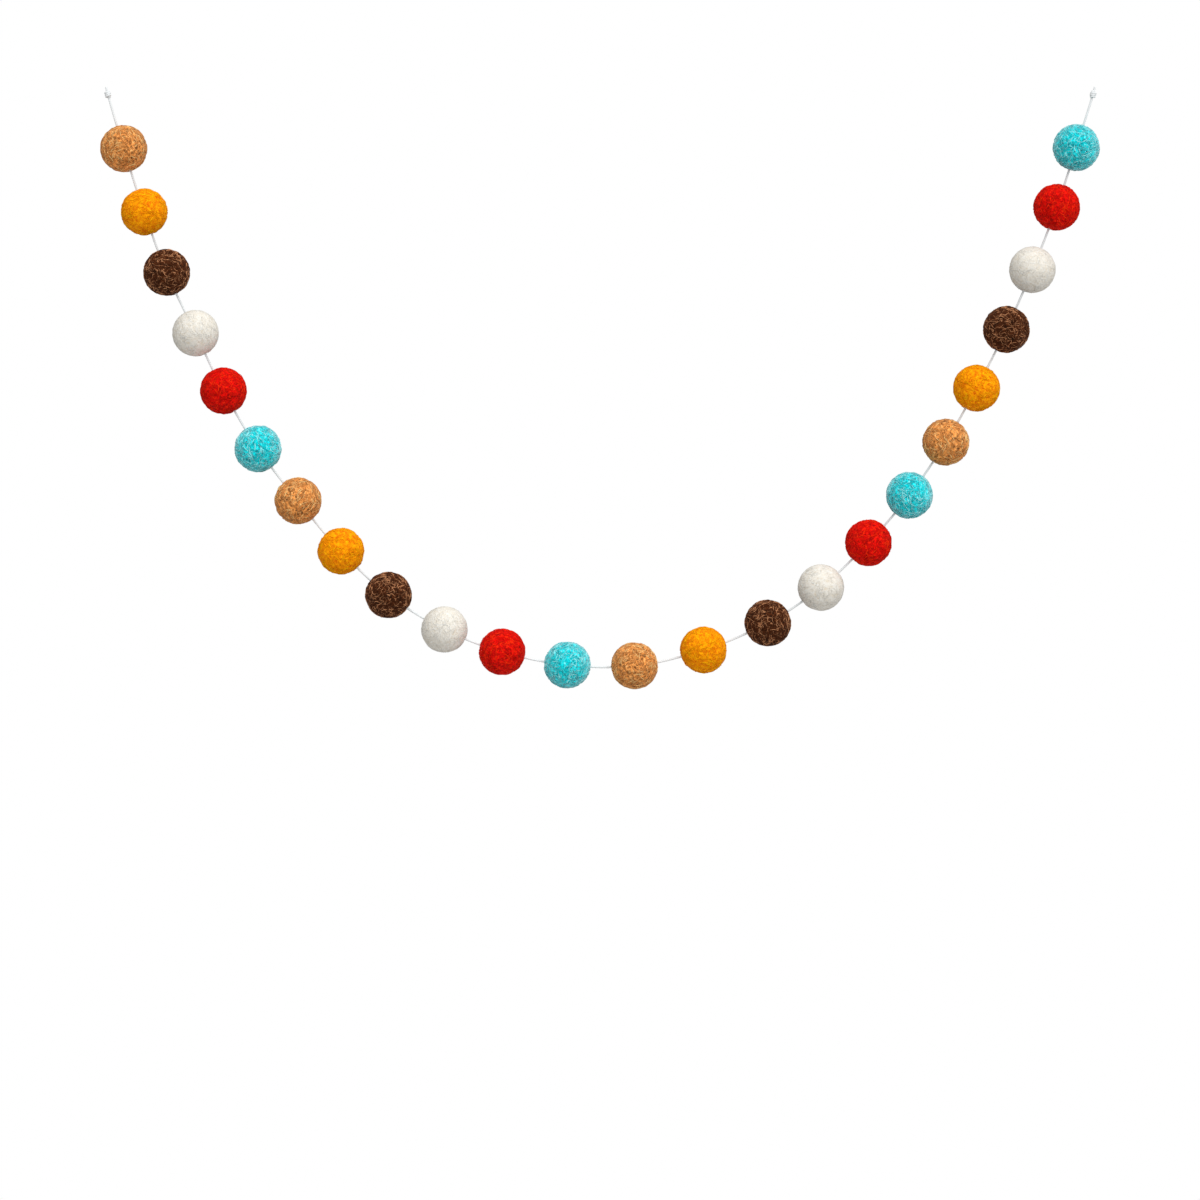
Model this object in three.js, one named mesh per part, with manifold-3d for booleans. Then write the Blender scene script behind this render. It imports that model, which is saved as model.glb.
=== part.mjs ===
// A felt ball garland: twenty-four felted wool balls threaded on one cotton string.
// It hangs as a swag from the two ends of the string, each finished with a stopper knot.
// Millimetres, +Z up, +X to the viewer's right, and the viewer looks along +Y.
// The origin is the middle of the left-hand knot.
import * as THREE from "three";
import { mergeVertices } from "three/addons/utils/BufferGeometryUtils.js";
import Module from "manifold-3d";

const wasm = await Module();
wasm.setup();

// Driving dimensions
const BALL_DIAMETER = 25;
const STRING_DIAMETER = 1.2;
const CLEARANCE = 0.3; // between the string and the felt or the knot round it

// Felt balls: the facets of each sphere, and the low swells that rolling by hand leaves
const BALL_DETAIL = 3;
const SWELLS = 6;
const SWELL_HEIGHT = 0.45;
const SWELL_WAVES = 3;
const GOLDEN_ANGLE = Math.PI * (3 - Math.sqrt(5));

// String: its section and its steps along the route
const STRING_SIDES = 8;
const STRING_STEPS = 80;

// Stopper knots: wraps of the string round itself
const KNOT_WRAPS = 3;
const KNOT_SIDES = 12;
const WRAP_POINTS = 3;

// Wool colours in the order they are threaded, repeated along the string
const FELT_COLOURS = [
  { name: "tan", colour: 0xc98346 },
  { name: "mustard", colour: 0xeb8f0b },
  { name: "brown", colour: 0x57341f },
  { name: "cream", colour: 0xdcd9cc },
  { name: "red", colour: 0xd4170b },
  { name: "aqua", colour: 0x36c0c5 },
];
const STRING_COLOUR = 0xe4e3e2;

// The string's route from end to end. The swag lies in one upright plane, so y is 0.
const LEFT_TIP = { x: -1, z: 4 };
const LEFT_KNOT = { x: 0, z: 0 };
const RIGHT_KNOT = { x: 528.5, z: 0 };
const RIGHT_TIP = { x: 529.5, z: 4 };
const BALL_CENTRES = [
  { x: 8.5, z: -29 },
  { x: 19.5, z: -63 },
  { x: 31.5, z: -95.5 },
  { x: 47, z: -128 },
  { x: 62, z: -159 },
  { x: 80.5, z: -190 },
  { x: 102, z: -218 },
  { x: 125, z: -245 },
  { x: 150.5, z: -268.5 },
  { x: 180.5, z: -287 },
  { x: 211.5, z: -299 },
  { x: 246.5, z: -306 },
  { x: 282.5, z: -306.5 },
  { x: 319.5, z: -298 },
  { x: 354, z: -283.5 },
  { x: 382.5, z: -264.5 },
  { x: 408, z: -240.5 },
  { x: 430, z: -215 },
  { x: 449.5, z: -186.5 },
  { x: 466, z: -157.5 },
  { x: 482, z: -126 },
  { x: 496, z: -94 },
  { x: 509, z: -60.5 },
  { x: 519.5, z: -28.5 },
];

const inSwag = ({ x, z }) => new THREE.Vector3(x, 0, z);
const route = new THREE.CatmullRomCurve3(
  [LEFT_TIP, LEFT_KNOT, ...BALL_CENTRES, RIGHT_KNOT, RIGHT_TIP].map(inSwag),
);

// A round tube of the given radius along the whole route
function tubeAlongRoute(radius) {
  const corners = [];
  for (let side = 0; side < STRING_SIDES; side++) {
    const angle = (2 * Math.PI * side) / STRING_SIDES;
    corners.push(new THREE.Vector2(radius * Math.cos(angle), radius * Math.sin(angle)));
  }
  return new THREE.ExtrudeGeometry(new THREE.Shape(corners), {
    steps: STRING_STEPS,
    bevelEnabled: false,
    extrudePath: route,
  });
}

// A closed geometry as a solid that can be cut, and back
function solidFrom(geometry) {
  const bare = geometry.clone();
  bare.deleteAttribute("normal");
  bare.deleteAttribute("uv");
  const merged = mergeVertices(bare);
  return new wasm.Manifold(
    new wasm.Mesh({
      numProp: 3,
      vertProperties: merged.attributes.position.array,
      triVerts: new Uint32Array(merged.index.array),
    }),
  );
}

function geometryFrom(solid) {
  const { vertProperties, triVerts } = solid.getMesh();
  const geometry = new THREE.BufferGeometry();
  geometry.setAttribute("position", new THREE.BufferAttribute(vertProperties, 3));
  geometry.setIndex(new THREE.BufferAttribute(triVerts, 1));
  geometry.computeVertexNormals();
  return geometry;
}

// Directions spread evenly over a sphere by a golden-angle spiral, turned on for each ball
function swellDirections(ballNumber) {
  const directions = [];
  for (let k = 0; k < SWELLS; k++) {
    const height = 1 - (2 * k + 1) / SWELLS;
    const around = GOLDEN_ANGLE * (k + SWELLS * ballNumber);
    const ring = Math.sqrt(1 - height * height);
    directions.push(new THREE.Vector3(ring * Math.cos(around), ring * Math.sin(around), height));
  }
  return directions;
}

// A sphere with low swells, pierced by the string's route
function feltBall(ballNumber, centre) {
  const ball = new THREE.IcosahedronGeometry(BALL_DIAMETER / 2, BALL_DETAIL);
  const swells = swellDirections(ballNumber);
  const points = ball.attributes.position;
  const point = new THREE.Vector3();
  for (let i = 0; i < points.count; i++) {
    point.fromBufferAttribute(points, i);
    const waves = swells.map((swell, k) => Math.cos(SWELL_WAVES * point.angleTo(swell) + k));
    const swell = waves.reduce((sum, wave) => sum + wave) / SWELLS;
    point.setLength(BALL_DIAMETER / 2 + SWELL_HEIGHT * swell);
    points.setXYZ(i, point.x, point.y, point.z);
  }
  const needleHole = tubeAlongRoute(STRING_DIAMETER / 2 + CLEARANCE);
  needleHole.translate(-centre.x, -centre.y, -centre.z);
  return geometryFrom(solidFrom(ball).subtract(solidFrom(needleHole)));
}

// A barrel of wraps side by side, one string thick, pierced by the string's route.
// Its first bore is narrower than the string and goes when the route is cut out.
function stopperKnot(centre, along) {
  const innerRadius = STRING_DIAMETER / 2 + CLEARANCE;
  const boreRadius = STRING_DIAMETER / 4;
  const wrapRadius = STRING_DIAMETER / 2;
  const halfLength = (KNOT_WRAPS * STRING_DIAMETER) / 2;
  const profile = [new THREE.Vector2(boreRadius, -halfLength)];
  for (let wrap = 0; wrap < KNOT_WRAPS; wrap++) {
    const middle = -halfLength + wrapRadius + wrap * STRING_DIAMETER;
    for (let k = 0; k < WRAP_POINTS; k++) {
      const angle = (Math.PI * (k + 0.5)) / WRAP_POINTS - Math.PI / 2;
      const outward = innerRadius + wrapRadius + wrapRadius * Math.cos(angle);
      profile.push(new THREE.Vector2(outward, middle + wrapRadius * Math.sin(angle)));
    }
  }
  profile.push(new THREE.Vector2(boreRadius, halfLength), profile[0].clone());
  const barrel = new THREE.LatheGeometry(profile, KNOT_SIDES);
  barrel.applyQuaternion(new THREE.Quaternion().setFromUnitVectors(new THREE.Vector3(0, 1, 0), along));
  const stringHole = tubeAlongRoute(innerRadius);
  stringHole.translate(-centre.x, -centre.y, -centre.z);
  return geometryFrom(solidFrom(barrel).subtract(solidFrom(stringHole)));
}

const felt = (colour) => new THREE.MeshStandardMaterial({ color: colour, roughness: 0.95, metalness: 0 });
const cotton = () => new THREE.MeshStandardMaterial({ color: STRING_COLOUR, roughness: 0.85, metalness: 0 });

const garland = new THREE.Group();

const string = new THREE.Mesh(tubeAlongRoute(STRING_DIAMETER / 2), cotton());
string.name = "string";
garland.add(string);

BALL_CENTRES.forEach((place, index) => {
  const { name, colour } = FELT_COLOURS[index % FELT_COLOURS.length];
  const centre = inSwag(place);
  const ball = new THREE.Mesh(feltBall(index, centre), felt(colour));
  ball.name = `ball_${String(index + 1).padStart(2, "0")}_${name}`;
  ball.position.copy(centre);
  garland.add(ball);
});

for (const [name, knotPlace, nextPlace] of [
  ["knot_left", LEFT_KNOT, LEFT_TIP],
  ["knot_right", RIGHT_KNOT, RIGHT_TIP],
]) {
  const centre = inSwag(knotPlace);
  const along = inSwag(nextPlace).sub(centre).normalize();
  const knot = new THREE.Mesh(stopperKnot(centre, along), cotton());
  knot.name = name;
  knot.position.copy(centre);
  garland.add(knot);
}

export default garland;
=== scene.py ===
# %% [markdown]
# # A felt ball garland
#
# The real object is twenty-four balls of wet-felted wool on one thin cotton string. Each ball was
# rolled by hand from loose wool until the fibres locked into a firm lump with a curly, wrinkled skin.
# The packed solids are the same pieces in a plain form, and this script makes what the eye sees.

# %% Load the packed solids
import math

import bpy
import numpy as np
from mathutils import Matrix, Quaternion, Vector
from mathutils.kdtree import KDTree


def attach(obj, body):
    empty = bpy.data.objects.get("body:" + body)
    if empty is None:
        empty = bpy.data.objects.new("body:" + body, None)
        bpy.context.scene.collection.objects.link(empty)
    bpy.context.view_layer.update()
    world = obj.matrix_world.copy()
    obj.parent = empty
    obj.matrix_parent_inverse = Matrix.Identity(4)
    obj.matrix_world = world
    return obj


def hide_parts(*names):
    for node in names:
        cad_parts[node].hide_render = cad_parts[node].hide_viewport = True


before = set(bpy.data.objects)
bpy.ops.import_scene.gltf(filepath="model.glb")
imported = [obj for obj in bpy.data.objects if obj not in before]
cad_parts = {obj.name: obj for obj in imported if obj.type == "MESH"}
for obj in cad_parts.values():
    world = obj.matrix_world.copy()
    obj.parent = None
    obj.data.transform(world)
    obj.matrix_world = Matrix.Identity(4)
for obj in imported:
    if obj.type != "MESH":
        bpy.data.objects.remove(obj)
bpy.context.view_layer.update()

MM = 0.001

# %% [markdown]
# ## The camera
#
# The garland was seen straight on, from far enough away that every ball looks equally large. A long
# lens from over two metres gives that, and its picture is as wide as the whole square view.

# %% Camera
VIEW_WIDTH = 0.6438
VIEW_CENTRE = Vector((0.2640, 0, -0.2712))
LENS = 135
SENSOR = 36

camera = bpy.data.objects.new("camera", bpy.data.cameras.new("camera"))
bpy.context.scene.collection.objects.link(camera)
camera.data.lens = LENS
camera.data.sensor_width = SENSOR
camera.location = VIEW_CENTRE + Vector((0, -VIEW_WIDTH * LENS / SENSOR, 0))
camera.rotation_euler = (math.radians(90), 0, 0)
bpy.context.scene.camera = camera
print("camera stands back", round(-camera.location.y, 3), "m")

# %% [markdown]
# ## The string's route
#
# One string carries everything, so its route comes first: a short tail, the left knot, the middle of
# each ball in turn, the right knot and its tail. The points were chosen along the hanging curve. A
# smooth curve through them is then walked in small even steps.

# %% The places that the string passes
STRING_DIAMETER = 1.2 * MM
TAIL_LEFT = (-1, 4)
KNOT_LEFT = (0, 0)
KNOT_RIGHT = (528.5, 0)
TAIL_RIGHT = (529.5, 4)
BALL_CENTRES = [
    (8.5, -29), (19.5, -63), (31.5, -95.5), (47, -128), (62, -159), (80.5, -190),
    (102, -218), (125, -245), (150.5, -268.5), (180.5, -287), (211.5, -299), (246.5, -306),
    (282.5, -306.5), (319.5, -298), (354, -283.5), (382.5, -264.5), (408, -240.5), (430, -215),
    (449.5, -186.5), (466, -157.5), (482, -126), (496, -94), (509, -60.5), (519.5, -28.5),
]


def in_swag(place):
    """A given place in the upright plane of the swag, in metres."""
    x, z = place
    return Vector((x * MM, 0, z * MM))


places = [TAIL_LEFT, KNOT_LEFT, *BALL_CENTRES, KNOT_RIGHT, TAIL_RIGHT]
print("places along the string:", len(places), "of which", len(BALL_CENTRES), "are balls")

# %% A smooth route through them
ROUTE_STEP = 0.40 * MM
ROUTE_POINTS_EACH = 40


def knot_times(points):
    """Centripetal spacing: the parameter grows by the square root of each gap."""
    times = [0.0]
    for a, b in zip(points, points[1:]):
        times.append(times[-1] + math.sqrt((b - a).length))
    return times


def smooth_point(points, times, t):
    """A point of the centripetal Catmull-Rom curve that passes through four points."""
    p0, p1, p2, p3 = points
    t0, t1, t2, t3 = times
    a1 = p0.lerp(p1, (t - t0) / (t1 - t0))
    a2 = p1.lerp(p2, (t - t1) / (t2 - t1))
    a3 = p2.lerp(p3, (t - t2) / (t3 - t2))
    b1 = a1.lerp(a2, (t - t0) / (t2 - t0))
    b2 = a2.lerp(a3, (t - t1) / (t3 - t1))
    return b1.lerp(b2, (t - t1) / (t2 - t1))


def smooth_route(places, steps_each):
    """A dense polyline along the smooth curve through all the places."""
    points = [in_swag(place) for place in places]
    points = [2 * points[0] - points[1]] + points + [2 * points[-1] - points[-2]]
    times = knot_times(points)
    line = []
    for i in range(1, len(points) - 2):
        for k in range(steps_each):
            t = times[i] + (times[i + 1] - times[i]) * k / steps_each
            line.append(smooth_point(points[i - 1:i + 3], times[i - 1:i + 3], t))
    line.append(points[-2])
    return line


def even_steps(line, step):
    """The same line with its points a fixed distance apart, and its length."""
    array = np.array([tuple(p) for p in line])
    gaps = np.linalg.norm(np.diff(array, axis=0), axis=1)
    along = np.concatenate([[0], np.cumsum(gaps)])
    count = max(2, round(along[-1] / step))
    wanted = np.linspace(0, along[-1], count + 1)
    return np.stack([np.interp(wanted, along, array[:, k]) for k in range(3)], axis=1), along[-1]


route, string_length = even_steps(smooth_route(places, ROUTE_POINTS_EACH), ROUTE_STEP)
print("string:", round(string_length, 4), "m in", len(route), "points")

# %% [markdown]
# ## Floor and light
#
# The picture has a pure white ground and light from above, a little from the right. A sun gives every
# ball the same light wherever it hangs, and one lamp close by would light the middle of the swag more
# than its ends. The sun is as broad as a large softbox. A smaller one was tried first, and the string
# went dark under each ball and vanished in the full light, where the real one is an even pale grey.
#
# A dim white sky fills the shadows. It is only full white where it is looked at directly, so that it
# doesn't wash the wool out. A pale floor lies well below the swag. It looks nearly white too, but
# throws back less light than that, and so the undersides of the balls stay deep.

# %% Floor
FLOOR_BELOW = 1.05
FLOOR_SIDE = 6.6
FLOOR_PALE = 0.88
FLOOR_BOUNCE = 0.62
FLOOR_ROUGHNESS = 0.9

bpy.context.scene.view_settings.view_transform = "Standard"


def link(piece):
    """Puts a new object into the scene."""
    bpy.context.scene.collection.objects.link(piece)
    return piece


def make_mesh(name, vertices, faces, smooth=True):
    """A mesh object from plain arrays of points and faces."""
    mesh = bpy.data.meshes.new(name)
    mesh.from_pydata([tuple(v) for v in vertices], [], [tuple(f) for f in faces])
    mesh.polygons.foreach_set("use_smooth", [smooth] * len(mesh.polygons))
    mesh.update()
    return link(bpy.data.objects.new(name, mesh))


def floor_material():
    """A plain pale matt floor. Only its look is pale: the light it throws back is dimmer."""
    material = bpy.data.materials.new("pale_floor")
    material.use_nodes = True
    tree = material.node_tree
    shader = tree.nodes["Principled BSDF"]
    shader.inputs["Base Color"].default_value = (FLOOR_PALE, FLOOR_PALE, FLOOR_PALE, 1)
    shader.inputs["Roughness"].default_value = FLOOR_ROUGHNESS
    dim = tree.nodes.new("ShaderNodeBsdfDiffuse")
    dim.inputs["Color"].default_value = (FLOOR_BOUNCE, FLOOR_BOUNCE, FLOOR_BOUNCE, 1)
    ray = tree.nodes.new("ShaderNodeLightPath")
    which = tree.nodes.new("ShaderNodeMixShader")
    tree.links.new(ray.outputs["Is Camera Ray"], which.inputs["Fac"])
    tree.links.new(dim.outputs["BSDF"], which.inputs[1])
    tree.links.new(shader.outputs["BSDF"], which.inputs[2])
    tree.links.new(which.outputs["Shader"], tree.nodes["Material Output"].inputs["Surface"])
    return material


half = FLOOR_SIDE / 2
corners = [(x + VIEW_CENTRE.x, y, -FLOOR_BELOW) for x, y in
           [(-half, -half), (half, -half), (half, half), (-half, half)]]
floor = make_mesh("floor", corners, [(0, 1, 2, 3)], smooth=False)
floor.data.materials.append(floor_material())
print("floor:", FLOOR_SIDE, "m wide and", FLOOR_BELOW, "m below the knots")

# %% Light
SUN_STRENGTH = 3.3
SUN_ANGLE = 75
SUN_FROM = Vector((0.32, -0.84, 0.96))
SKY_STRENGTH = 0.40

sun = link(bpy.data.objects.new("soft_sun", bpy.data.lights.new("soft_sun", "SUN")))
sun.data.energy = SUN_STRENGTH
sun.data.angle = math.radians(SUN_ANGLE)
sun.rotation_mode = "QUATERNION"
sun.rotation_quaternion = SUN_FROM.to_track_quat("Z", "Y")

world = bpy.data.worlds.new("white_studio")
bpy.context.scene.world = world
world.use_nodes = True
sky = world.node_tree
sky.nodes.clear()
seen = sky.nodes.new("ShaderNodeBackground")
seen.inputs["Color"].default_value = (1, 1, 1, 1)
lit = sky.nodes.new("ShaderNodeBackground")
lit.inputs["Color"].default_value = (1, 1, 1, 1)
lit.inputs["Strength"].default_value = SKY_STRENGTH
which = sky.nodes.new("ShaderNodeMixShader")
ray = sky.nodes.new("ShaderNodeLightPath")
shown = sky.nodes.new("ShaderNodeOutputWorld")
sky.links.new(ray.outputs["Is Camera Ray"], which.inputs["Fac"])
sky.links.new(lit.outputs["Background"], which.inputs[1])
sky.links.new(seen.outputs["Background"], which.inputs[2])
sky.links.new(which.outputs["Shader"], shown.inputs["Surface"])
print("sun from", tuple(SUN_FROM), "sky", SKY_STRENGTH)

# %% [markdown]
# ## The pattern of the wool
#
# Felted wool is a mat of curled fibres. Seen close, each one is a fine line that swirls about, runs over
# its neighbours and dives under others. The places where a smooth noise passes its middle value make
# lines of just that kind, and bending the noise first makes them curl. Several such layers laid over
# one another, each with a start of its own, cross like real fibres do.
#
# Broad lumps go under the fibres. Their recipe is laid twice, with the same nodes: in a geometry tree,
# which raises the mesh, and in the shader group, which paints shade into the hollows. So the painted
# shade follows the true shape.

# %% Short words for either kind of node tree
class Wiring:
    """Short words for adding nodes and joining their sockets in one node tree."""

    def __init__(self, tree):
        self.tree = tree

    def node(self, kind, **settings):
        made = self.tree.nodes.new(kind)
        for name, value in settings.items():
            setattr(made, name, value)
        return made

    def put(self, socket, value):
        if isinstance(value, bpy.types.NodeSocket):
            self.tree.links.new(value, socket)
        else:
            socket.default_value = value

    def math(self, operation, a, b=None, c=None, clamp=False):
        made = self.node("ShaderNodeMath", operation=operation, use_clamp=clamp)
        for socket, value in zip(made.inputs, (a, b, c)):
            if value is not None:
                self.put(socket, value)
        return made.outputs[0]

    def vector(self, operation, a, b=None, scale=None):
        made = self.node("ShaderNodeVectorMath", operation=operation)
        self.put(made.inputs[0], a)
        if b is not None:
            self.put(made.inputs[1], b)
        if scale is not None:
            self.put(made.inputs["Scale"], scale)
        return made.outputs["Vector"]

    def noise(self, point, scale, detail=0.0, roughness=0.5):
        made = self.node("ShaderNodeTexNoise")
        self.put(made.inputs["Vector"], point)
        self.put(made.inputs["Scale"], scale)
        self.put(made.inputs["Detail"], detail)
        self.put(made.inputs["Roughness"], roughness)
        return made.outputs[0], made.outputs[1]

    def ramp(self, value, low, high, to_low=0.0, to_high=1.0, smooth=True):
        made = self.node("ShaderNodeMapRange", interpolation_type="SMOOTHSTEP" if smooth else "LINEAR")
        for name, given in (("Value", value), ("From Min", low), ("From Max", high),
                            ("To Min", to_low), ("To Max", to_high)):
            self.put(made.inputs[name], given)
        return made.outputs["Result"]

    def mix(self, share, a, b, blend="MIX"):
        made = self.node("ShaderNodeMix", data_type="RGBA", blend_type=blend)
        self.put(made.inputs["Factor"], share)
        self.put(made.inputs[6], a)
        self.put(made.inputs[7], b)
        return made.outputs[2]


print("words for wiring:", ", ".join(name for name in vars(Wiring) if not name.startswith("_")))

# %% The recipe
BALL_RADIUS = 12.5 * MM
LUMP_SCALE = 0.30
CURL_SCALE = 0.36
CURL_BEND = 2.4
FIBRE_SCALE = 1.5
FIBRE_BEND = 0.5
PULL_SCALE = 1.3  # how much finer the noise is that bends the fibres
LAYER_DROP = 0.12  # how much lower each layer of fibres lies than the one before it
NOISE_SPAN = (0.3, 0.7)  # nearly all of a smooth noise lies between these


def curl_layer(w, point, offset, scale, bend, width):
    """One layer of curled fibres: 1 along the middle of each, down to 0 beside it."""
    shifted = w.vector("ADD", point, offset)
    _, pull = w.noise(shifted, PULL_SCALE * scale, detail=1.0)
    aside = w.vector("SUBTRACT", pull, (0.5, 0.5, 0.5))
    swirled = w.vector("ADD", shifted, w.vector("SCALE", aside, scale=bend))
    level, _ = w.noise(swirled, scale, detail=1.0, roughness=0.35)
    off_line = w.math("ABSOLUTE", w.math("SUBTRACT", level, 0.5))
    return w.ramp(off_line, 0.0, width, 1.0, 0.0)


def crossing_layers(w, point, offsets, scale, bend, width):
    """Several layers of fibres, where each fibre lies a little lower than the layer before it."""
    top = None
    for depth, offset in enumerate(offsets):
        layer = curl_layer(w, point, offset, scale, bend, width)
        layer = w.math("MULTIPLY", layer, 1 - LAYER_DROP * depth)
        top = layer if top is None else w.math("MAXIMUM", top, layer)
    return top


def lump_height(w, point):
    """The broad lumps of the skin, from 0 to 1."""
    lump, _ = w.noise(point, LUMP_SCALE, detail=2.0)
    return w.ramp(lump, *NOISE_SPAN)


def skin_point(w, position):
    """The point of a true ball under a place on the skin, in millimetres."""
    return w.vector("SCALE", w.vector("NORMALIZE", position), scale=BALL_RADIUS / MM)


print("curls swirl every", round(1 / CURL_SCALE, 2), "mm")
print("fine fibres every", round(1 / FIBRE_SCALE, 2), "mm")

# %% [markdown]
# ## The felt as a shader group
#
# Every colour of wool uses one group. It takes the body colour, the darker colour that is painted down
# in the creases as shade and also gives the darker locks their deeper tone, and the lighter colour of
# stray locks, and gives out a colour, a height for the bump and a roughness.
#
# First it works out what lies at each place: a lock or the skin between the locks, a curled fibre, a
# fine one or a gap, and one of the fine strands that run along a lock. The mesh keeps three numbers
# for this at its points, because a picture of them would need a flat layout of a whole ball.

# %% The felt's sockets and its pattern
FELT_INPUTS = {
    "Body": ("NodeSocketColor", (0.5, 0.3, 0.2, 1)),
    # painted shade: the colour painted into the gaps, lock edges and hollows, and the deeper locks' tone
    "Shade and deep tone": ("NodeSocketColor", (0.2, 0.1, 0.05, 1)),
    "Stray": ("NodeSocketColor", (0.8, 0.6, 0.4, 1)),
    "Curl width": ("NodeSocketFloat", 0.07),
    # how strong the painted shade is
    "Painted shade depth": ("NodeSocketFloat", 0.8),
    "Stray share": ("NodeSocketFloat", 0.2),
    "Tone spread": ("NodeSocketFloat", 0.3),
}
FELT_OUTPUTS = {"Color": "NodeSocketColor", "Height": "NodeSocketFloat", "Roughness": "NodeSocketFloat"}
CURL_OFFSETS = [(17, 3, 41), (5, 67, 29), (83, 11, 53)]
FIBRE_OFFSETS = [(31, 7, 19), (3, 47, 23), (61, 13, 2)]
STRAY_OFFSET = (47, 59, 9)
FIBRE_WIDTH = 0.09
THIN_STRAY = 0.4  # a stray's width as a share of a curl's
STRAND_TURN = 17.0  # radians that the wave of strands runs through up the side of a lock
STRAND_WANDER = 16.0  # radians that noise shifts it by
STRAND_SHIFT = 40.0  # radians that the lock's tone shifts it by
WANDER_SCALE = 0.9


def add_socket(tree, name, kind, out=False, value=None):
    """One named socket on a node group."""
    made = tree.interface.new_socket(name, in_out="OUTPUT" if out else "INPUT", socket_type=kind)
    if value is not None:
        made.default_value = value
    return made


def kept_number(w, name):
    """A number that is kept at every point of a ball's mesh."""
    return w.node("ShaderNodeAttribute", attribute_name=name).outputs["Fac"]


def lock_or_skin(w, felt, on_the_lock, on_the_skin):
    """One value on the locks and another on the skin between them."""
    off = w.math("MULTIPLY", on_the_skin, felt["off lock"])
    return w.math("MULTIPLY_ADD", on_the_lock, felt["on lock"], off)


def felt_pattern(w, given):
    """What the colours and the height need to know about each place of the wool."""
    place = w.node("ShaderNodeTexCoord").outputs["Object"]
    point = skin_point(w, place)
    fine_point = w.vector("SCALE", place, scale=1 / MM)
    felt = {"on lock": kept_number(w, "lock"), "tone": kept_number(w, "tone"),
            "crest": kept_number(w, "crest"), "point": point, "lumps": lump_height(w, point)}
    felt["off lock"] = w.math("SUBTRACT", 1.0, felt["on lock"])
    curls = crossing_layers(w, point, CURL_OFFSETS, CURL_SCALE, CURL_BEND, given["Curl width"])
    felt["fibres"] = crossing_layers(w, fine_point, FIBRE_OFFSETS, FIBRE_SCALE, FIBRE_BEND, FIBRE_WIDTH)
    thin = w.math("MULTIPLY", given["Curl width"], THIN_STRAY)
    felt["strays"] = curl_layer(w, point, STRAY_OFFSET, CURL_SCALE, CURL_BEND, thin)
    felt["covered"] = w.math("MAXIMUM", curls, felt["strays"])
    wander, _ = w.noise(fine_point, WANDER_SCALE, detail=2.0)
    shift = w.math("MULTIPLY", felt["tone"], STRAND_SHIFT)
    phase = w.math("MULTIPLY_ADD", wander, STRAND_WANDER, shift)
    turn = w.math("MULTIPLY_ADD", felt["crest"], STRAND_TURN, phase)
    lines = w.ramp(w.math("SINE", turn), -1.0, 1.0)
    felt["strands"] = lock_or_skin(w, felt, lines, felt["fibres"])
    return felt


print("the felt group takes:", ", ".join(FELT_INPUTS))

# %% [markdown]
# ## The colours of the felt
#
# Dyed wool gets deeper where it is shaded by its own fibres, and not greyer. So the crease colour is a
# deep one, and a lock with a darker random tone leans towards it. The edges of the locks and the gaps in
# the mat are painted with that colour as painted shade, which draws the short dark strokes that cover a
# real ball.
#
# Some locks take the stray colour instead, and the paler locks get a little brighter as well. Black
# and white mixed over one flat colour would do for a stone, but it makes wool look dusty.

# %% The felt's colours
GAP_PAINTED_SHADE = (0.85, 0.5)  # painted shade in a gap of the mat, and on a fine fibre across it
FIBRE_FROM = 0.2  # a fine fibre fainter than this doesn't count
EDGE_SHADE_REACH = 0.62  # how far up its side a lock's edge of painted shade goes
HOLLOW_SHADE = (1.2, 0.8)  # how strong the painted shade is in a hollow, and on a lump
STRAY_STEP = 0.06
FAINT_STRAYS = 0.7
PATCH_SCALE = 0.5  # of the skin's lighter and darker patches
PATCH_SPAN = (0.25, 0.75)
PALER_FROM = 0.4  # locks with a tone over this are paler
PALER_TONE = 0.25  # by how much, as a share of the tone spread
DEEP_BELOW = 0.8  # locks with a tone under this are deeper
STRAND_SHADE = (0.94, 1.06)  # beside a strand, and on it
STRAND_DEPTH = 0.10


def painted_shade_share(w, given, felt):
    """How much painted shade shows: in the mat's gaps and along the locks' edges, most in the hollows.
    """
    gap = w.math("SUBTRACT", 1.0, felt["covered"])
    skin_painted_shade = w.math("MULTIPLY", gap, w.ramp(felt["fibres"], FIBRE_FROM, 1.0, *GAP_PAINTED_SHADE))
    lock_edge_painted_shade = w.ramp(felt["crest"], 0.0, EDGE_SHADE_REACH, 1.0, 0.0)
    edge_and_gap_shade = lock_or_skin(w, felt, lock_edge_painted_shade, skin_painted_shade)
    hollow_painted_shade = w.ramp(felt["lumps"], 0.0, 1.0, *HOLLOW_SHADE, smooth=False)
    return w.math("MULTIPLY", w.math("MULTIPLY", edge_and_gap_shade, given["Painted shade depth"]), hollow_painted_shade, clamp=True)


def stray_share(w, given, felt):
    """How much stray colour shows: on the palest locks, and faintly on the skin's own strays."""
    stray_from = w.math("SUBTRACT", 1.0, given["Stray share"])
    light = w.ramp(felt["tone"], stray_from, w.math("ADD", stray_from, STRAY_STEP))
    faint = w.math("MULTIPLY", w.math("MULTIPLY", felt["strays"], felt["off lock"]), FAINT_STRAYS)
    return w.math("MULTIPLY_ADD", light, felt["on lock"], faint)


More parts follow.
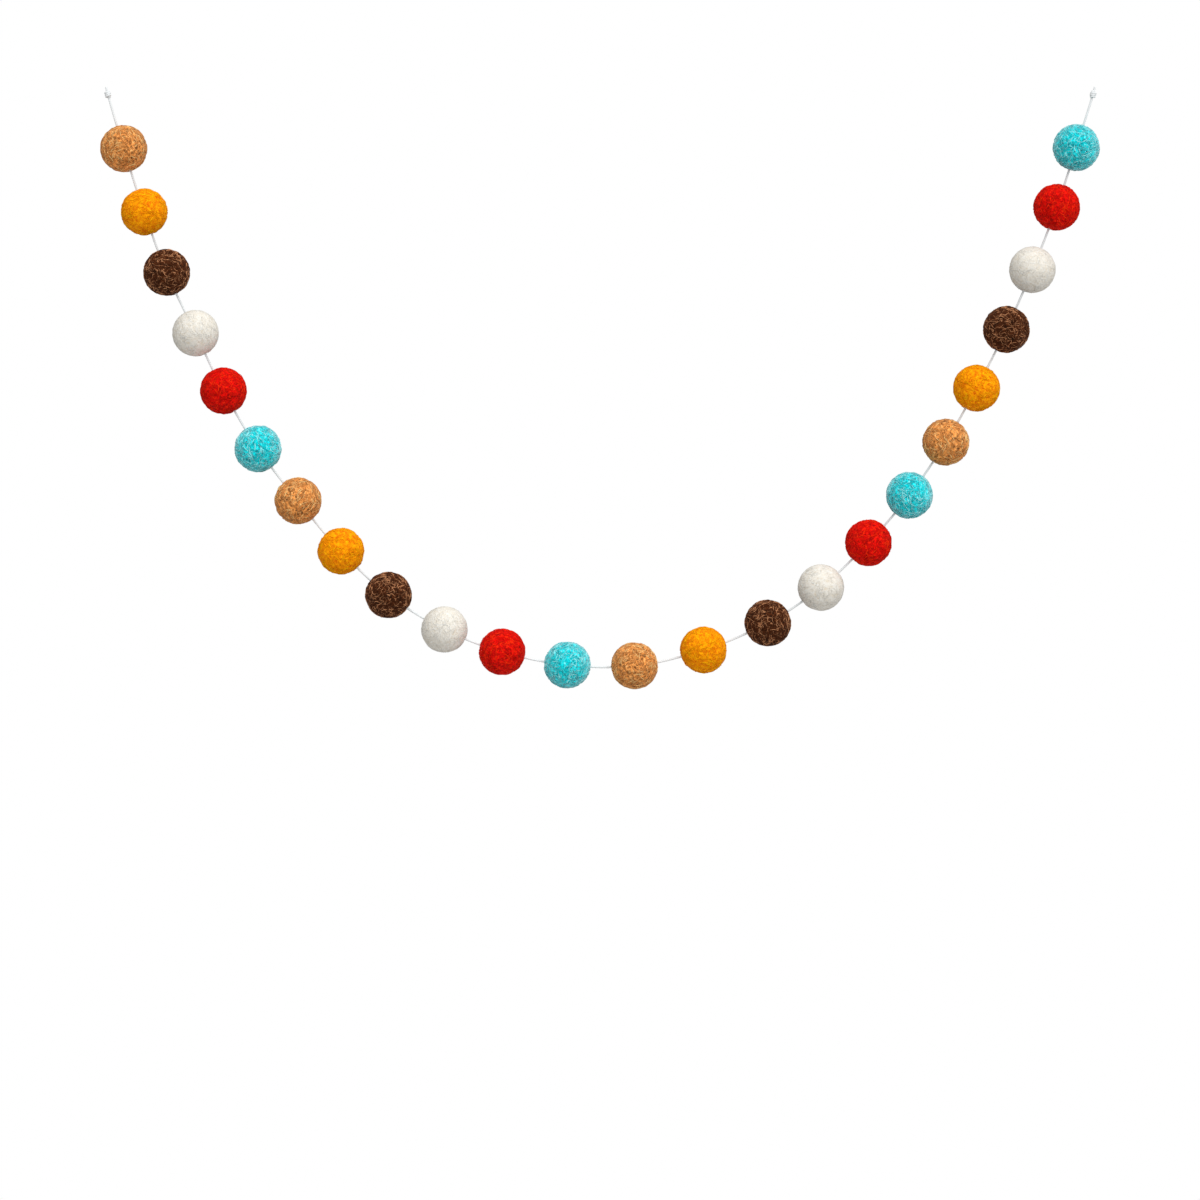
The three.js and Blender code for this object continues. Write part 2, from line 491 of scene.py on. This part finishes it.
def body_colour(w, given, felt):
    """The body and stray colours, paler on some locks and leaning to the crease colour on others."""
    patch, _ = w.noise(felt["point"], PATCH_SCALE)
    tone = lock_or_skin(w, felt, felt["tone"], w.ramp(patch, *PATCH_SPAN))
    palest = w.math("MULTIPLY_ADD", given["Tone spread"], PALER_TONE, 1.0)
    shaded = w.math("MULTIPLY", w.ramp(tone, PALER_FROM, 1.0, 1.0, palest, smooth=False),
                    w.ramp(felt["strands"], 0.0, 1.0, *STRAND_SHADE, smooth=False))
    grey = w.node("ShaderNodeCombineXYZ")
    for axis in "XYZ":
        w.put(grey.inputs[axis], shaded)
    body = w.mix(stray_share(w, given, felt), given["Body"], given["Stray"])
    body = w.mix(1.0, body, grey.outputs[0], blend="MULTIPLY")
    deep = w.ramp(tone, 0.0, DEEP_BELOW, given["Tone spread"], 0.0, smooth=False)
    deep = w.math("ADD", deep, w.ramp(felt["strands"], 0.0, 1.0, STRAND_DEPTH, 0.0, smooth=False))
    return w.mix(deep, body, given["Shade and deep tone"])


print("strands change the felt's colour by", STRAND_SHADE)

# %% The whole felt group
COVER_RISE = 0.7  # how high the curls stand, as a share of the bump
STRAND_RISE = 0.35
FELT_ROUGHNESS = (0.98, 0.84)  # beside a strand, and on it


def felt_group():
    """Colour, height and roughness of felted wool: the matted skin and the curled locks on it."""
    tree = bpy.data.node_groups.new("felted_wool", "ShaderNodeTree")
    for name, (kind, value) in FELT_INPUTS.items():
        add_socket(tree, name, kind, value=value)
    for name, kind in FELT_OUTPUTS.items():
        add_socket(tree, name, kind, out=True)
    w = Wiring(tree)
    given = w.node("NodeGroupInput").outputs
    felt = felt_pattern(w, given)
    # painted shade: the crease colour laid over the body colour in the gaps, at the lock edges and in
    # the hollows
    colour = w.mix(painted_shade_share(w, given, felt), body_colour(w, given, felt), given["Shade and deep tone"])
    cover = w.math("MULTIPLY", felt["covered"], felt["off lock"])
    strand_rise = w.math("MULTIPLY", felt["strands"], STRAND_RISE)
    out = w.node("NodeGroupOutput").inputs
    w.put(out["Color"], colour)
    w.put(out["Height"], w.math("MULTIPLY_ADD", cover, COVER_RISE, strand_rise))
    w.put(out["Roughness"], w.ramp(felt["strands"], 0.0, 1.0, *FELT_ROUGHNESS, smooth=False))
    return tree


FELT_GROUP = felt_group()
print("felt group:", len(FELT_GROUP.nodes), "nodes")

# %% [markdown]
# ## The six wools
#
# Each colour has its own body, stray and crease colours, the last painted into the gaps as shade, and
# its own wildness. The brown has many thin pale strays over deep painted shade in its gaps. The aqua
# has pale locks over teal and the strongest sheen. The tan has dark painted shade in the gaps between
# its strokes, the mustard and the red have warm painted shade, and the cream is nearly smooth.
#
# A separate material written out for each colour would drift apart from the others. One table keeps
# them alike, and its last numbers also shape the locks: how wide, how high and how curly they are.
# The principled shader stays in each material, with the soft sheen that wool has.

# %% Wool colours and their materials
def linear(red, green, blue):
    """A colour as a screen shows it, turned into the light it stands for."""
    def one(c):
        c = c / 255
        return c / 12.92 if c <= 0.04045 else ((c + 0.055) / 1.055) ** 2.4
    return (one(red), one(green), one(blue), 1)


# each wool's crease colour is painted into its gaps, lock edges and hollows as shade, and its depth is
# how strong that painted shade is
WOOLS = {
    "tan": {"body": linear(253, 164, 84), "crease": linear(56, 20, 3), "stray": linear(255, 206, 134),
            "line": 0.072, "depth": 1.0, "share": 0.34, "spread": 0.40, "bump": 0.20,
            "sheen": 0.36, "glow": linear(255, 226, 180), "width": 0.60, "rise": 0.30, "curl": 0.13},
    "mustard": {"body": linear(255, 167, 0), "crease": linear(206, 68, 0), "stray": linear(255, 192, 6),
                "line": 0.085, "depth": 0.90, "share": 0.25, "spread": 0.35, "bump": 0.18,
                "sheen": 0.25, "glow": linear(255, 200, 10), "width": 0.58, "rise": 0.26, "curl": 0.14},
    "brown": {"body": linear(82, 40, 15), "crease": linear(18, 6, 2), "stray": linear(222, 158, 112),
              "line": 0.06, "depth": 1.0, "share": 0.42, "spread": 0.30, "bump": 0.16,
              "sheen": 0.12, "glow": linear(230, 150, 110), "width": 0.33, "rise": 0.24, "curl": 0.17},
    "cream": {"body": linear(223, 220, 212), "crease": linear(204, 184, 150),
              "stray": linear(228, 228, 224),
              "line": 0.11, "depth": 0.5, "share": 0.25, "spread": 0.08, "bump": 0.16,
              "sheen": 0.06, "glow": linear(235, 240, 250), "width": 0.54, "rise": 0.11, "curl": 0.14},
    "red": {"body": linear(238, 12, 3), "crease": linear(100, 1, 1), "stray": linear(254, 52, 8),
            "line": 0.08, "depth": 0.95, "share": 0.3, "spread": 0.32, "bump": 0.16,
            "sheen": 0.10, "glow": linear(255, 90, 20), "width": 0.56, "rise": 0.24, "curl": 0.13},
    "aqua": {"body": linear(4, 233, 240), "crease": linear(0, 98, 112), "stray": linear(150, 252, 255),
             "line": 0.078, "depth": 1.0, "share": 0.42, "spread": 0.38, "bump": 0.20,
             "sheen": 1.00, "glow": linear(244, 252, 255), "width": 0.58, "rise": 0.30, "curl": 0.18},
}
WOOL_SOCKETS = {"Body": "body", "Shade and deep tone": "crease", "Stray": "stray", "Curl width": "line",
                "Painted shade depth": "depth", "Stray share": "share", "Tone spread": "spread"}
WOOL_BUMP = 0.9
WOOL_SHINE = 0.08
SHEEN_ROUGHNESS = 0.35


def felt_material(name, wool):
    """One wool colour, from the shared felt group."""
    material = bpy.data.materials.new("felt_" + name)
    material.use_nodes = True
    w = Wiring(material.node_tree)
    shader = material.node_tree.nodes["Principled BSDF"]
    felt = w.node("ShaderNodeGroup", node_tree=FELT_GROUP)
    for socket, key in WOOL_SOCKETS.items():
        felt.inputs[socket].default_value = wool[key]
    bump = w.node("ShaderNodeBump")
    bump.inputs["Strength"].default_value = WOOL_BUMP
    bump.inputs["Distance"].default_value = wool["bump"] * MM
    w.put(bump.inputs["Height"], felt.outputs["Height"])
    w.put(shader.inputs["Base Color"], felt.outputs["Color"])
    w.put(shader.inputs["Roughness"], felt.outputs["Roughness"])
    w.put(shader.inputs["Normal"], bump.outputs["Normal"])
    shader.inputs["Specular IOR Level"].default_value = WOOL_SHINE
    shader.inputs["Sheen Weight"].default_value = wool["sheen"]
    shader.inputs["Sheen Roughness"].default_value = SHEEN_ROUGHNESS
    shader.inputs["Sheen Tint"].default_value = wool["glow"]
    return material


FELTS = {name: felt_material(name, wool) for name, wool in WOOLS.items()}
print("felt materials:", ", ".join(FELTS))

# %% [markdown]
# ## The relief as a geometry tree
#
# A ball starts as a cube of small squares blown up to a sphere, because its squares stay even all
# round. A geometry tree then raises each point by the lumps, and by the low swells that hand rolling
# leaves. The skin lies a little under the ball's full size, because the locks come on top of it. The
# result is kept as a plain mesh.

# %% The relief tree
LUMP_RISE = 0.12 * MM
SWELL_RISE = 0.16 * MM
SWELL_SCALE = 0.09
SKIN_BELOW = 0.13 * MM  # how far under the ball's radius the middle of the relief lies


def relief_tree():
    """Geometry nodes that raise a ball's skin by the lumps and the swells."""
    tree = bpy.data.node_groups.new("felt_relief", "GeometryNodeTree")
    add_socket(tree, "Geometry", "NodeSocketGeometry")
    add_socket(tree, "Geometry", "NodeSocketGeometry", out=True)
    w = Wiring(tree)
    given = w.node("NodeGroupInput").outputs
    place = w.node("GeometryNodeInputPosition").outputs[0]
    point = skin_point(w, place)
    raised = w.math("MULTIPLY_ADD", lump_height(w, point), LUMP_RISE, -SKIN_BELOW - LUMP_RISE / 2)
    swell, _ = w.noise(point, SWELL_SCALE, detail=1.0)
    swelled = w.math("MULTIPLY_ADD", w.math("SUBTRACT", swell, 0.5), 2 * SWELL_RISE, raised)
    outward = w.vector("SCALE", w.vector("NORMALIZE", place), scale=swelled)
    moved = w.node("GeometryNodeSetPosition")
    w.put(moved.inputs["Geometry"], given["Geometry"])
    w.put(moved.inputs["Offset"], outward)
    w.put(w.node("NodeGroupOutput").inputs["Geometry"], moved.outputs["Geometry"])
    return tree


RELIEF = relief_tree()
print("relief tree:", len(RELIEF.nodes), "nodes")

# %% A ball of even squares
SQUARES_ALONG = 28


def even_sphere(radius, squares):
    """Points and quads of a cube blown up to a sphere, with its squares kept nearly even."""
    points = {}
    faces = []
    half = squares / 2

    def corner(x, y, z):
        key = (x, y, z)
        if key not in points:
            bent = Vector([math.tan((c / half - 1) * math.pi / 4) for c in key])
            points[key] = (len(points), bent.normalized() * radius)
        return points[key][0]

    for axis in range(3):
        for side in (0, squares):
            for i in range(squares):
                for j in range(squares):
                    quad = []
                    for a, b in ((i, j), (i + 1, j), (i + 1, j + 1), (i, j + 1)):
                        place = [a, b]
                        place.insert(axis, side)
                        quad.append(corner(*place))
                    outward = (side > 0) != (axis == 1)
                    faces.append(quad if outward else quad[::-1])
    return [p for _, p in points.values()], faces


SPHERE_POINTS, SPHERE_FACES = even_sphere(BALL_RADIUS, SQUARES_ALONG)
print("ball mesh:", len(SPHERE_POINTS), "points,", 2 * len(SPHERE_FACES), "triangles")

# %% The raised skin
def raised_skin():
    """The points of a ball after the relief tree."""
    ball = make_mesh("raising", SPHERE_POINTS, SPHERE_FACES)
    modifier = ball.modifiers.new("relief", "NODES")
    modifier.node_group = RELIEF
    made = ball.evaluated_get(bpy.context.evaluated_depsgraph_get()).to_mesh()
    points = np.empty(3 * len(made.vertices))
    made.vertices.foreach_get("co", points)
    mesh = ball.data
    bpy.data.objects.remove(ball)
    bpy.data.meshes.remove(mesh)
    return points.reshape(-1, 3)


SKIN = raised_skin()
reach = np.linalg.norm(SKIN, axis=1) / MM
print("skin radius from", round(reach.min(), 2), "to", round(reach.max(), 2), "mm")

# %% [markdown]
# ## The curled locks
#
# What catches the light on the real balls is the top layer of locks: short curled bundles of wool, a
# third to two thirds of a millimetre wide, that lie on the skin and sink into it at both ends. Hands
# roll a ball one way for a while and then another, so neighbouring locks lie nearly side by side, in
# swirls. That is the grain, and here it is a few smooth waves added up.
#
# Each lock is walked over the ball in short steps. It keeps bending a little by itself, and the grain
# pulls it back. Curls without a grain were tried first, and looked like noodles close up. Each lock
# has a low ridged section and a tone of its own, so that pale ones can stand out from the body colour.

# %% The grain
GRAIN_WAVES = 5
GRAIN_TURNS = 4.0  # how fast the grain swirls, in radians over the radius of a ball


def unit(rows):
    """Each row scaled to length one."""
    return rows / np.linalg.norm(rows, axis=-1, keepdims=True)


def wool_grain(rng):
    """A smooth swirling direction all over a ball, along which the hands laid the wool."""
    turns = rng.normal(0, GRAIN_TURNS, (GRAIN_WAVES, 3))
    push = rng.normal(size=(GRAIN_WAVES, 3))
    phase = rng.uniform(0, 2 * math.pi, GRAIN_WAVES)

    def along_grain(here):
        flow = np.sin(here @ turns.T + phase) @ push
        return unit(flow - here * np.sum(flow * here, axis=1, keepdims=True))

    return along_grain


def swing(here, ahead, angle):
    """Directions on the skin turned by an angle about the way out of the ball."""
    return ahead * np.cos(angle)[:, None] + np.cross(here, ahead) * np.sin(angle)[:, None]


print("waves in the grain:", GRAIN_WAVES)

# %% Curled paths along the grain
LOCK_STEPS = 8
LOCK_STEP = 0.50 * MM
OFF_GRAIN = 0.5  # how far off the grain a lock starts, in radians
GRAIN_PULL = 0.35  # how strongly the grain turns it back at each step
BEND_WANDER = 0.5
TIGHTEST_BEND = 0.6


def curled_paths(rng, count, curl):
    """Directions from the ball's middle along many curled paths, all walked together."""
    along_grain = wool_grain(rng)
    here = unit(rng.normal(size=(count, 3)))
    ahead = swing(here, along_grain(here), rng.normal(0, OFF_GRAIN, count))
    bend = rng.normal(0, curl, count)
    stride = LOCK_STEP / BALL_RADIUS
    path = [here]
    for _ in range(LOCK_STEPS):
        bend = bend + rng.normal(0, BEND_WANDER * curl, count)
        bend = np.clip(bend, -TIGHTEST_BEND, TIGHTEST_BEND)
        grain = along_grain(here)
        with_grain = np.sign(np.sum(grain * ahead, axis=1, keepdims=True))
        ahead = swing(here, unit(ahead + GRAIN_PULL * with_grain * grain), bend)
        here = unit(here + ahead * stride)
        ahead = unit(ahead - here * np.sum(ahead * here, axis=1, keepdims=True))
        path.append(here)
    return np.stack(path, axis=1)


print("a lock is about", round(LOCK_STEPS * LOCK_STEP / MM, 1), "mm long")

# %% Locks on the skin
LOCKS = 530
LOCK_SINK = 0.10 * MM  # how deep a lock's feet lie in the skin
BLUNT_END = 0.12  # how much of the half-wave taper is cut off at each end of a lock
END_SINK = 0.4  # how far a lock's crest goes down at its ends, as a share of LOCK_SINK
WIDTH_SPREAD = (0.65, 1.25)
RISE_SPREAD = (0.7, 1.35)


def skin_tree(skin):
    """A search tree that finds the skin's point nearest to a place."""
    tree = KDTree(len(skin))
    for index, place in enumerate(skin):
        tree.insert(place, index)
    tree.balance()
    return tree


SKIN_TREE = skin_tree(SKIN)


def lock_rings(rng, wool):
    """Three corners at each step of each lock, with the lock's tone and how near its crest each is."""
    paths = curled_paths(rng, LOCKS, wool["curl"])
    count, rings = paths.shape[:2]
    level = np.array([[SKIN_TREE.find(p * BALL_RADIUS)[0].length for p in path] for path in paths])
    ahead = unit(np.gradient(paths, axis=1))
    side = unit(np.cross(ahead, paths))
    t = np.linspace(0, 1, rings)
    taper = np.sin(np.pi * (BLUNT_END + (1 - 2 * BLUNT_END) * t))[None, :]
    width = wool["width"] * MM * rng.uniform(*WIDTH_SPREAD, (count, 1)) * taper
    lift = wool["rise"] * MM * rng.uniform(*RISE_SPREAD, (count, 1)) * taper
    lift = lift - END_SINK * LOCK_SINK * (1 - taper)
    crest = paths * (level + lift)[..., None]
    foot = paths * (level - LOCK_SINK)[..., None]
    aside = side * width[..., None] / 2
    corners = np.stack([foot - aside, crest, foot + aside], axis=2)
    tone = np.broadcast_to(rng.uniform(0, 1, (count, 1, 1)), (count, rings, 3))
    near_crest = np.broadcast_to(np.array([0.0, 1.0, 0.0]), (count, rings, 3))
    return corners, tone, near_crest


def tube_faces(count, rings, first):
    """Faces of many closed three-sided tubes whose corners follow one another."""
    faces = []
    for tube in range(count):
        start = first + tube * rings * 3
        for k in range(rings - 1):
            for side in range(3):
                a = start + 3 * k + side
                b = start + 3 * k + (side + 1) % 3
                faces.append((a, a + 3, b + 3, b))
        end = start + 3 * (rings - 1)
        faces.append((start, start + 1, start + 2))
        faces.append((end + 2, end + 1, end))
    return faces


print("locks on a ball:", LOCKS)

# %% [markdown]
# ## Loose hairs and the string's dimples
#
# Where the needle drew the string through, the wool is pulled in a little. A few loose hairs stand off
# the skin. Each is a thin three-sided tube, curved and tapered, laid out like the locks but lifted.
# Hair particles would look much the same, but they aren't part of a mesh, and the garland is also
# wanted as a model that other programs can open.

# %% Dimples and loose hairs
DIMPLE_DEPTH = 0.45 * MM
DIMPLE_REACH = 1.25 * MM
HAIRS = 70
HAIR_STEPS = 4
HAIR_THICKNESS = 0.03 * MM
HAIR_LENGTH = (0.8 * MM, 2.4 * MM)
HAIR_LIFT = (0.2 * MM, 0.6 * MM)
HAIR_ROOT = 0.15 * MM
HAIR_CURL = 0.6
HAIR_TAPER = 0.7
ARC_START = 0.1  # where on a half-wave a hair's lift begins
ARC_SPAN = 0.75  # and how much of the half-wave it follows


def pull_in(points, axis):
    """Draws the wool in round the string, where it enters and where it leaves."""
    line = np.array(tuple(axis))
    along = points @ line
    beside = np.linalg.norm(points - along[:, None] * line, axis=1)
    pull = DIMPLE_DEPTH * np.exp(-((beside / DIMPLE_REACH) ** 2))
    return points - unit(points) * pull[:, None]


def hair_rings(rng, skin):
    """Three corners at each step of each loose hair."""
    root = skin[rng.integers(0, len(skin), HAIRS)]
    outward = unit(root)
    side = unit(np.cross(outward, rng.normal(size=(HAIRS, 3))))
    other = np.cross(outward, side)
    length = rng.uniform(*HAIR_LENGTH, (HAIRS, 1, 1))
    lift = rng.uniform(*HAIR_LIFT, (HAIRS, 1, 1))
    curl = rng.uniform(-HAIR_CURL, HAIR_CURL, (HAIRS, 1, 1)) * length
    t = np.linspace(0, 1, HAIR_STEPS + 1)[None, :, None]
    rise = lift * np.sin(np.pi * (ARC_START + ARC_SPAN * t)) - HAIR_ROOT
    line = root[:, None] + side[:, None] * length * t + other[:, None] * curl * t * t
    line = line + outward[:, None] * rise
    ahead = unit(np.gradient(line, axis=1))
    across = unit(np.cross(ahead, outward[:, None]))
    up = np.cross(across, ahead)
    width = HAIR_THICKNESS * (1 - HAIR_TAPER * t)
    corners = []
    for angle in (0, 2 * math.pi / 3, 4 * math.pi / 3):
        corners.append(line + across * width * math.cos(angle) - up * width * math.sin(angle))
    return np.stack(corners, axis=2)


print("loose hairs on a ball:", HAIRS, "and dimples", round(DIMPLE_DEPTH / MM, 2), "mm deep")

# %% [markdown]
# ## The balls
#
# A ball is its raised skin, its locks and its loose hairs in one mesh, with three numbers kept at every
# point: whether it is on a lock, that lock's tone, and how near the crest it lies. The felt group reads
# them. The balls were threaded at random angles, so each one is turned its own way, and its locks are
# its own too: no two balls on a real string are alike.

# %% One ball
FIRST_SEED = 100
HAIR_TONE = 0.6


def felt_ball(number, node, name, centre, along):
    """One felted ball: raised skin, dimples where the string passes, curled locks and loose hairs."""
    rng = np.random.default_rng(FIRST_SEED + number)
    turn = Quaternion(rng.normal(size=4)).normalized()
    rings, tone, crest = lock_rings(rng, WOOLS[name])
    hairs = hair_rings(rng, SKIN)
    points = np.concatenate([SKIN, rings.reshape(-1, 3), hairs.reshape(-1, 3)])
    points = pull_in(points, turn.inverted() @ along)
    faces = list(SPHERE_FACES)
    faces += tube_faces(len(rings), LOCK_STEPS + 1, len(SKIN))
    faces += tube_faces(HAIRS, HAIR_STEPS + 1, len(SKIN) + rings.size // 3)
    ball = make_mesh("felt_" + node, points, faces)
    on_skin = np.zeros(len(SKIN))
    on_hairs = np.ones(hairs.size // 3)
    for key, values in (("lock", [on_skin, np.ones(tone.size), on_hairs]),
                        ("tone", [on_skin, tone.ravel(), HAIR_TONE * on_hairs]),
                        ("crest", [on_skin, crest.ravel(), on_hairs])):
        kept = ball.data.attributes.new(key, "FLOAT", "POINT")
        kept.data.foreach_set("value", np.concatenate(values))
    ball.data.materials.append(FELTS[name])
    ball.rotation_mode = "QUATERNION"
    ball.rotation_quaternion = turn
    ball.location = centre
    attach(ball, "root")
    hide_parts(node)
    return ball


tube_triangles = LOCKS * (6 * LOCK_STEPS + 2) + HAIRS * (6 * HAIR_STEPS + 2)
print("triangles in a ball:", 2 * len(SPHERE_FACES) + tube_triangles)

# %% Thread the balls
BALL_NODES = sorted(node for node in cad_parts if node.startswith("ball_"))
balls = []
for number, (node, place) in enumerate(zip(BALL_NODES, BALL_CENTRES)):
    centre = in_swag(place)
    nearest = int(np.argmin(np.linalg.norm(route - np.array(centre), axis=1)))
    along = Vector(route[nearest + 1] - route[nearest - 1]).normalized()
    balls.append(felt_ball(number, node, node.split("_")[-1], centre, along))
print("balls:", len(balls), "with", sum(len(b.data.polygons) for b in balls), "faces")

# %% [markdown]
# ## The string
#
# The string is three plies of white cotton laid together. Its section is a three-lobed shape that
# turns as it goes along, so the plies wind round each other. It is one mesh, with rings along the
# route, and stays a single continuous cord through all the balls. Three separate tubes would cost
# three times the faces, most of them hidden inside. The grooves between the plies are painted a little
# greyer, as painted shade.

# %% Plied cord mesh
PLIES = 3
PLY_PITCH = 3.6 * MM
CORD_SIDES = 12
LOBE_DEPTH = 0.18
LOBE_SWELL = 1.25  # how high a ply stands over its grooves, as a share of LOBE_DEPTH


def cord_mesh(name, centres, up, radius, pitch, step):
    """A plied cord along a polyline, with closed ends."""
    centres = np.asarray(centres, float)
    ahead = unit(np.gradient(centres, axis=0))
    side = unit(np.cross(ahead, np.asarray(up, float)))
    over = np.cross(side, ahead)
    angles = np.arange(CORD_SIDES) * 2 * math.pi / CORD_SIDES
    turned = 2 * math.pi * np.arange(len(centres)) * step / pitch
    lobes = np.abs(np.cos(0.5 * PLIES * (angles[None, :] - turned[:, None])))
    reach = radius * (1 - LOBE_DEPTH + LOBE_DEPTH * LOBE_SWELL * np.sqrt(lobes))
    rings = (centres[:, None, :]
             + side[:, None, :] * (reach * np.cos(angles))[:, :, None]
             + over[:, None, :] * (reach * np.sin(angles))[:, :, None])
    vertices = list(rings.reshape(-1, 3))
    crest = list(lobes.ravel()) + [1.0, 1.0]
    faces = []
    for k in range(len(centres) - 1):
        for s in range(CORD_SIDES):
            a = k * CORD_SIDES + s
            b = k * CORD_SIDES + (s + 1) % CORD_SIDES
            faces.append((a, a + CORD_SIDES, b + CORD_SIDES, b))
    last = (len(centres) - 1) * CORD_SIDES
    vertices += [centres[0], centres[-1]]
    for s in range(CORD_SIDES):
        t = (s + 1) % CORD_SIDES
        faces.append((s, t, len(vertices) - 2))
        faces.append((last + t, last + s, len(vertices) - 1))
    cord = make_mesh(name, vertices, faces)
    cord.data.attributes.new("ply", "FLOAT", "POINT").data.foreach_set("value", crest)
    return cord


print("the plies turn once in", round(PLY_PITCH / MM, 1), "mm")

# %% Cotton
COTTON_DULL = linear(220, 223, 224)
COTTON_PALE = linear(230, 233, 234)
# painted shade: the greyer colour of the grooves between the plies
COTTON_GROOVE_SHADE = linear(203, 207, 208)
GROOVE_SIDE = (0.15, 0.75)  # how far up its side a groove has painted shade, and where the ply's colour is full
MOTTLE_SCALE = 0.6
FUZZ_SCALE = 9.0
FUZZ_SPAN = (0.2, 0.8)
FUZZ_HEIGHT = 0.05 * MM
COTTON_ROUGHNESS = (0.75, 0.95)
COTTON_BUMP = 0.5
COTTON_SHEEN = 0.4


def cotton_material():
    """White cotton: faintly mottled, greyer in the grooves as painted shade, matt, with fine fibre bump.
    """
    material = bpy.data.materials.new("cotton_string")
    material.use_nodes = True
    w = Wiring(material.node_tree)
    shader = material.node_tree.nodes["Principled BSDF"]
    place = w.node("ShaderNodeTexCoord").outputs["Object"]
    point = w.vector("SCALE", place, scale=1 / MM)
    mottle, _ = w.noise(point, MOTTLE_SCALE, detail=3.0)
    fuzz, _ = w.noise(point, FUZZ_SCALE, detail=3.0, roughness=0.65)
    ply = w.node("ShaderNodeAttribute", attribute_name="ply").outputs["Fac"]
    crest = w.mix(w.ramp(mottle, *NOISE_SPAN), COTTON_DULL, COTTON_PALE)
    # painted shade: greyer in the grooves between the plies
    colour = w.mix(w.ramp(ply, *GROOVE_SIDE), COTTON_GROOVE_SHADE, crest)
    bump = w.node("ShaderNodeBump")
    bump.inputs["Strength"].default_value = COTTON_BUMP
    bump.inputs["Distance"].default_value = FUZZ_HEIGHT
    w.put(bump.inputs["Height"], fuzz)
    w.put(shader.inputs["Base Color"], colour)
    w.put(shader.inputs["Roughness"], w.ramp(fuzz, *FUZZ_SPAN, *COTTON_ROUGHNESS))
    w.put(shader.inputs["Normal"], bump.outputs["Normal"])
    shader.inputs["Sheen Weight"].default_value = COTTON_SHEEN
    return material


COTTON = cotton_material()
print("cotton:", len(COTTON.node_tree.nodes), "nodes")

# %% The string
string = cord_mesh("plied_string", route, (0, 1, 0), STRING_DIAMETER / 2, PLY_PITCH, ROUTE_STEP)
string.data.materials.append(COTTON)
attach(string, "root")
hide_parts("string")
print("string mesh:", 2 * len(string.data.polygons), "triangles")

# %% [markdown]
# ## The stopper knots
#
# Each end is a barrel knot: the tail is wrapped three times round the string and pulled tight. The
# wraps are the same plied cord, wound on a helix that starts and ends inside the string.

# %% Knots
KNOT_WRAPS = 3
WRAP_RADIUS = 1.16 * MM
WRAP_STEP = 0.22 * MM
WRAP_POINTS = 160
EXTRA_TURN = 0.5
TUCKED_IN = 0.25  # how far out the wraps start and end, as a share of their radius
TUCK_SHARE = 0.2  # how much of the wraps swings out at the start, and back in at the end
PULLED_TIGHT = 0.92


def knot_line(centre, axis):
    """The wraps of a stopper knot round its axis, tucked in at both ends."""
    lean = axis.to_track_quat("Z", "Y")
    line = []
    for k in range(WRAP_POINTS + 1):
        t = k / WRAP_POINTS
        tuck = math.sin(math.pi * min(1.0, min(t, 1 - t) / TUCK_SHARE) / 2)
        reach = WRAP_RADIUS * (TUCKED_IN + (1 - TUCKED_IN) * tuck)
        angle = 2 * math.pi * (KNOT_WRAPS + EXTRA_TURN) * t
        height = (t - 0.5) * KNOT_WRAPS * STRING_DIAMETER * PULLED_TIGHT
        place = Vector((reach * math.cos(angle), reach * math.sin(angle), height))
        line.append(centre + lean @ place)
    return line


def stopper_knot(node, place, tail):
    """One knot, in place of its solid."""
    centre = in_swag(place)
    axis = (in_swag(tail) - centre).normalized()
    wraps, _ = even_steps(knot_line(centre, axis), WRAP_STEP)
    piece = cord_mesh("tied_" + node, wraps, axis, STRING_DIAMETER / 2, PLY_PITCH, WRAP_STEP)
    piece.data.materials.append(COTTON)
    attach(piece, "root")
    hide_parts(node)
    return piece


knots = [stopper_knot("knot_left", KNOT_LEFT, TAIL_LEFT),
         stopper_knot("knot_right", KNOT_RIGHT, TAIL_RIGHT)]
print("knots:", [knot.name for knot in knots])

# %% [markdown]
